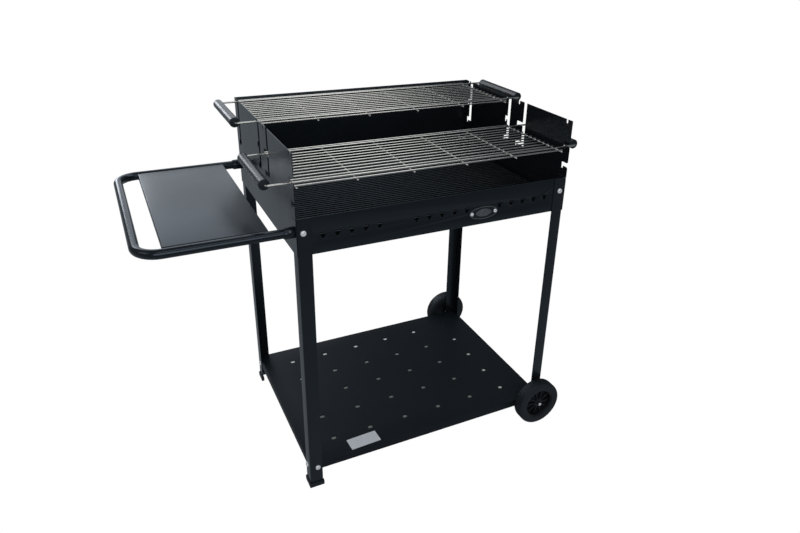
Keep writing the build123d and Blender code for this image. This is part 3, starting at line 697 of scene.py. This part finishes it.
def softPanel(nodeName, look):
    panel = mergedCopy(nodeName, f"{nodeName}_sheet")
    hemZ, foldZ, foldY = (look[key] * mm for key in ("hemZ", "foldZ", "foldY"))

    def outside(a, b):
        return max(abs(a.y - foldY), abs(b.y - foldY)) < near

    openEdit(panel, "EDGE")
    pickEdges(panel, lambda a, b: abs(a.y - b.y) < near and min(a.z, b.z) > hemZ - near)
    bpy.ops.mesh.bevel(offset=look["hem"] * mm, segments=4, affect="EDGES")
    pickEdges(panel, lambda a, b: abs(a.x - b.x) > 1 * mm and max(a.z, b.z) < foldZ + near and outside(a, b))
    bpy.ops.mesh.bevel(offset=look["fold"] * mm, segments=4, affect="EDGES")
    if "holes" in look:
        low, high = (height * mm for height in look["holes"])
        pickEdges(panel, lambda a, b: low < min(a.z, b.z) and max(a.z, b.z) < high and outside(a, b))
        bpy.ops.mesh.bevel(offset=look["rim"] * mm, segments=2, affect="EDGES")
    begin(panel)
    smooth(panel, panelSmooth)
    return panel


for nodeName, look in panels.items():
    dress(softPanel(nodeName, look), "satinPaint", "stand", "black_paint", nodeName)

# Foot caps with soft moulded edges
footCap = dict(edge=0.7, segments=3, smooth=40.0)
for place in ("front_left", "rear_left"):
    cap = mergedCopy(f"{place}_foot", f"{place}_cap")
    softEdges(cap, footCap["edge"], footCap["segments"])
    smooth(cap, footCap["smooth"])
    dress(cap, "blackPlastic", "stand", "black_plastic", f"{place}_foot")
print("panels and feet done")

# Oval badge: raised rim, sunk field and a blank raised middle, rivets hollow at the centre
badge = dict(
    sides=72, half=(42.0, 17.0), at=(118.5, -273.0, 724.0), base=1.2, rim=1.0, rimWidth=2.0, sink=0.9, middle=4.6,
    narrow=0.66, rise=0.8, edge=(0.35, 3, 50.0), smooth=40.0, rivetX=34.25,
    field=(0.010, 0.012, 0.014), raised=(0.105, 0.120, 0.130), rubbed=(2.0, 1.7), wear=(0.5, 1.0),
    rough=(0.30, 0.46), metal=0.2, cloud=260.0, grain=1400.0, depth=0.00008, lift=0.3,
)
rivet = dict(
    sides=28, smooth=50.0,
    rings=[(5, 0), (5, 0.5), (4.7, 1.5), (4.1, 2.4), (3.3, 2.9), (2.7, 2.9), (2.3, 2.3), (2.1, 0.3)],
)
castNoise = dict(detail=3.0, rough=0.6)


def pullUp(height):
    bpy.ops.mesh.extrude_region_move(TRANSFORM_OT_translate=dict(value=(0, 0, height * mm)))


def makeBadge():
    begin()
    bpy.ops.mesh.primitive_circle_add(vertices=badge["sides"], radius=1.0, fill_type="NGON")
    oval = bpy.context.active_object
    oval.name = "badge_plate"
    oval.scale = (badge["half"][0] * mm, badge["half"][1] * mm, 1.0)
    bpy.ops.object.transform_apply(location=True, rotation=True, scale=True)
    openEdit(oval)
    bpy.ops.mesh.select_all(action="SELECT")
    pullUp(badge["base"] + badge["rim"])
    bpy.ops.mesh.inset(thickness=badge["rimWidth"] * mm)
    pullUp(-badge["sink"])
    bpy.ops.mesh.inset(thickness=badge["middle"] * mm)
    bpy.ops.transform.resize(value=(badge["narrow"], 1, 1), center_override=(0, 0, 0))
    pullUp(badge["rise"])
    bpy.ops.mesh.select_all(action="SELECT")
    bpy.ops.mesh.normals_make_consistent(inside=False)
    begin(oval)
    softEdges(oval, *badge["edge"])
    smooth(oval, badge["smooth"])
    return oval


def buildBadgeFinish():
    finish, tree, shader, place = newFinish("badgeCasting")
    cloud = noiseOn(tree, place, badge["cloud"], **castNoise)
    start, end = ((badge["at"][1] - out) * mm for out in badge["rubbed"])
    rubbed = spread(tree, axesOf(tree, place)["Y"], 1.0, 0.0, start, end)
    worn = calc(tree, "MULTIPLY", rubbed, spread(tree, cloud, *badge["wear"]))
    tree.links.new(twoTone(tree, worn, badge["field"], badge["raised"]), shader.inputs["Base Color"])
    tree.links.new(spread(tree, cloud, *badge["rough"]), shader.inputs["Roughness"])
    shader.inputs["Metallic"].default_value = badge["metal"]
    relief(tree, shader, noiseOn(tree, place, badge["grain"]), badge["depth"], badge["lift"])
    return finish


made["badgeCasting"] = buildBadgeFinish()
oval = makeBadge()
badgeX, badgeY, badgeZ = badge["at"]
settle(oval, (boxX + badgeX * mm, badgeY * mm, badgeZ * mm), (90, 0, 0))
dress(oval, "badgeCasting", "stand", "black_paint", "badge")
rivetShape = turned("rivet_shape", rivet["rings"], rivet["sides"], True, True)
smooth(rivetShape, rivet["smooth"])
heads = []
for side in (-1, 1):
    spot = (boxX + (badgeX + side * badge["rivetX"]) * mm, (badgeY - badge["base"]) * mm, badgeZ * mm)
    heads.append(twin(rivetShape, f"rivet_{side}", spot, (90, 0, 0)))
discard(rivetShape)
dress(joinAll("badge_rivet_heads", heads), "zinc", "stand", "zinc", "badge_rivets")
print("badge done")

# Blank foil plate on the shelf
foil = dict(
    size=(87.0, 42.0, 0.3), gap=0.02, at=(-203.0, -243.0, 76.0), turn=2.7, corner=1.5,
    tones=((0.66, 0.69, 0.72), (0.76, 0.79, 0.82)), rough=(0.34, 0.52), metal=0.3,
    cloud=60.0, brush=(60.0, 900.0, 900.0), depth=0.00004, lift=0.3,
)


def buildFoilFinish():
    finish, tree, shader, place = newFinish("blankFoil")
    brush = noiseOn(tree, stretched(tree, place, foil["brush"]), 1.0, **castNoise)
    cloud = noiseOn(tree, place, foil["cloud"], **castNoise)
    tree.links.new(twoTone(tree, cloud, *foil["tones"]), shader.inputs["Base Color"])
    tree.links.new(spread(tree, brush, *foil["rough"]), shader.inputs["Roughness"])
    shader.inputs["Metallic"].default_value = foil["metal"]
    relief(tree, shader, brush, foil["depth"], foil["lift"])
    return finish


made["blankFoil"] = buildFoilFinish()
wide, deep, thin = foil["size"]
sticker = block("blank_plate", (-wide / 2, -deep / 2, foil["gap"]), (wide / 2, deep / 2, thin))
settle(sticker, (-boxX, 0, 0))
openEdit(sticker, "EDGE")
pickEdges(sticker, lambda a, b: abs(a.z - b.z) > 0.1 * mm)
bpy.ops.mesh.bevel(offset=foil["corner"] * mm, segments=4, affect="EDGES")
begin(sticker)
foilX, foilY, foilZ = foil["at"]
settle(sticker, (boxX + foilX * mm, foilY * mm, foilZ * mm), (0, 0, foil["turn"]))
dress(sticker, "blankFoil", "stand", "zinc")
print("blank plate done")

# Floor and light: white to the camera, plain and dimmer to the object, with a painted shade rectangle below the shelf
# where the floor's real shadow also shows
studio = dict(
    floor=16.0, tone=(0.56, 0.565, 0.57), lighter=1.02, cloud=1.3, rough=0.9, gloss=0.1,
    # shade band below the shelf: painted shade, where the floor's glow is cut and its grey tone, seen only there,
    # shows
    shadeX=(-0.293, 0.325), shadeY=(-0.135, 0.294), soft=0.05, shadeDepth=0.91,
    floorGloss=0.31, frontGloss=0.08, frontReach=(-3.6, -0.5), worldGloss=0.17, worldDiffuse=0.34,
    white=(1.0, 1.0, 1.0), cool=(0.80, 0.90, 1.0),
)


def seenBy(tree):
    path = tree.nodes.new("ShaderNodeLightPath")
    return path.outputs["Is Camera Ray"], path.outputs["Is Glossy Ray"], path.outputs["Is Transmission Ray"]


def layFloor():
    begin()
    bpy.ops.mesh.primitive_plane_add(size=studio["floor"], location=(0, 0, 0))
    floor = bpy.context.active_object
    floor.name = "studio_floor"
    finish, tree, shader, place = newFinish("studioFloor")
    shader.inputs["Roughness"].default_value = studio["rough"]
    shader.inputs["Specular IOR Level"].default_value = studio["gloss"]
    tone = studio["tone"]
    lighter = [part * studio["lighter"] for part in tone]
    cloud = noiseOn(tree, place, studio["cloud"])
    tree.links.new(twoTone(tree, cloud, tone, lighter), shader.inputs["Base Color"])
    apart = axesOf(tree, place)
    # painted shade: below the shelf the white glow fades across a soft rectangle, leaving 9% glow over the floor's
    # own lit shading and shadow
    shade = 1.0
    for axis, (low, high), shift in (("X", studio["shadeX"], boxX), ("Y", studio["shadeY"], 0.0)):
        shade = calc(tree, "MULTIPLY", band(tree, apart[axis], low + shift, high + shift, studio["soft"]), shade)
    camera, gloss, through = seenBy(tree)
    lit = calc(tree, "SUBTRACT", 1.0, calc(tree, "MULTIPLY", shade, studio["shadeDepth"]))
    white = calc(tree, "MULTIPLY", camera, lit)
    share = calc(tree, "MAXIMUM", white, calc(tree, "MAXIMUM", gloss, through))
    out = next(n for n in tree.nodes if n.type == "OUTPUT_MATERIAL")
    glow = tree.nodes.new("ShaderNodeEmission")
    mirrored = spread(tree, apart["Y"], studio["frontGloss"], studio["floorGloss"], *studio["frontReach"])
    dimmed = calc(tree, "MULTIPLY", gloss, calc(tree, "SUBTRACT", 1.0, mirrored))
    tree.links.new(calc(tree, "SUBTRACT", 1.0, dimmed), glow.inputs["Strength"])
    tree.links.new(twoTone(tree, gloss, studio["white"], studio["cool"]), glow.inputs["Color"])
    mix = tree.nodes.new("ShaderNodeMixShader")
    tree.links.new(share, mix.inputs["Fac"])
    tree.links.new(shader.outputs["BSDF"], mix.inputs[1])
    tree.links.new(glow.outputs["Emission"], mix.inputs[2])
    tree.links.new(mix.outputs["Shader"], out.inputs["Surface"])
    floor.data.materials.append(finish)


def setWorld():
    world = bpy.data.worlds.new("studioWorld")
    scene.world = world
    world.use_nodes = True
    tree = world.node_tree
    tree.nodes.clear()
    out = tree.nodes.new("ShaderNodeOutputWorld")
    back = tree.nodes.new("ShaderNodeBackground")
    camera, gloss, through = seenBy(tree)
    plain = spread(tree, gloss, studio["worldDiffuse"], studio["worldGloss"], 0.0, 1.0)
    tree.links.new(calc(tree, "MAXIMUM", plain, calc(tree, "MAXIMUM", camera, through)), back.inputs["Strength"])
    tree.links.new(twoTone(tree, gloss, studio["white"], studio["cool"]), back.inputs["Color"])
    tree.links.new(back.outputs["Background"], out.inputs["Surface"])


lampTone = (0.92, 0.96, 1.0)
lampPale = (0.9, 0.95, 1.0)
lampCool = (0.86, 0.92, 1.0)
lamps = [
    dict(name="backLeft", at=(-0.35, 3.3, 2.25), aim=(-0.5, 0.0, 0.7), size=(2.6, 3.4), power=21.0, tone=lampCool),
    dict(name="backHigh", at=(-0.3, 3.2, 2.9), aim=(-0.35, 0.0, 0.75), size=(1.4, 1.3), power=4.8, tone=lampCool),
    dict(name="backGlow", at=(-0.95, 3.3, 1.47), aim=(-0.3, 0.2, 0.9), size=(0.7, 0.6), power=7.0, tone=lampPale),
    dict(name="backTop", at=(-1.6, 3.3, 3.0), aim=(0.1, 0.0, 0.86), size=(1.3, 0.9), power=11.0, tone=lampTone),
    dict(name="leftFill", at=(-2.7, -0.6, 2.6), aim=(0.0, 0.0, 0.7), size=(1.6, 1.6), power=7.0, tone=lampTone),
    dict(name="overhead", at=(0.65, 0.1, 2.7), aim=(0.4, 0.0, 0.6), size=(2.6, 0.85), power=10.8, tone=lampTone),
    dict(name="topFront", at=(0.2, -1.6, 3.0), aim=(0.2, -0.3, 0.8), size=(2.4, 1.0), power=7.0, tone=lampTone),
    dict(name="frontFill", at=(-0.7, -3.1, 1.75), aim=(0.1, 0.0, 0.6), size=(2.6, 1.7), power=26.0, tone=lampTone),
]


def hangLamp(lamp):
    light = bpy.data.lights.new(lamp["name"], "AREA")
    light.shape = "RECTANGLE"
    light.size, light.size_y = lamp["size"]
    light.energy = lamp["power"]
    light.color = lamp["tone"]
    holder = bpy.data.objects.new(lamp["name"], light)
    scene.collection.objects.link(holder)
    holder.location = lamp["at"]
    ahead = Vector(lamp["aim"]) - Vector(lamp["at"])
    holder.rotation_euler = ahead.to_track_quat("-Z", "Y").to_euler()
    holder.visible_camera = False


layFloor()
setWorld()
for lamp in lamps:
    hangLamp(lamp)
print("floor, world and", len(lamps), "lamps set")

# Camera at the photograph's place, across from the firebox middle
shot = dict(
    at=(-0.734, -1.595, 1.369), turn=27.39, tilt=-25.06, roll=1.81,
    sensor=36.0, lens=29.92, shift=(-0.0299, -0.03125), nearest=0.05,
)


def setCamera():
    lens = bpy.data.cameras.new("photoCamera")
    lens.sensor_fit = "HORIZONTAL"
    lens.sensor_width = shot["sensor"]
    lens.lens = shot["lens"]
    lens.shift_x, lens.shift_y = shot["shift"]
    lens.clip_start = shot["nearest"]
    turn, tilt, roll = (math.radians(shot[key]) for key in ("turn", "tilt", "roll"))
    ahead = Vector((math.sin(turn) * math.cos(tilt), math.cos(turn) * math.cos(tilt), math.sin(tilt)))
    right = Vector((math.cos(turn), -math.sin(turn), 0.0))
    up = right.cross(ahead)
    rolledRight = right * math.cos(roll) + up * math.sin(roll)
    rolledUp = up * math.cos(roll) - right * math.sin(roll)
    camera = bpy.data.objects.new("photoCamera", lens)
    scene.collection.objects.link(camera)
    axes = Matrix((rolledRight, rolledUp, -ahead)).transposed()
    camera.matrix_world = Matrix.Translation(Vector(shot["at"]) + Vector((boxX, 0, 0))) @ axes.to_4x4()
    scene.camera = camera


setCamera()
print("camera set")
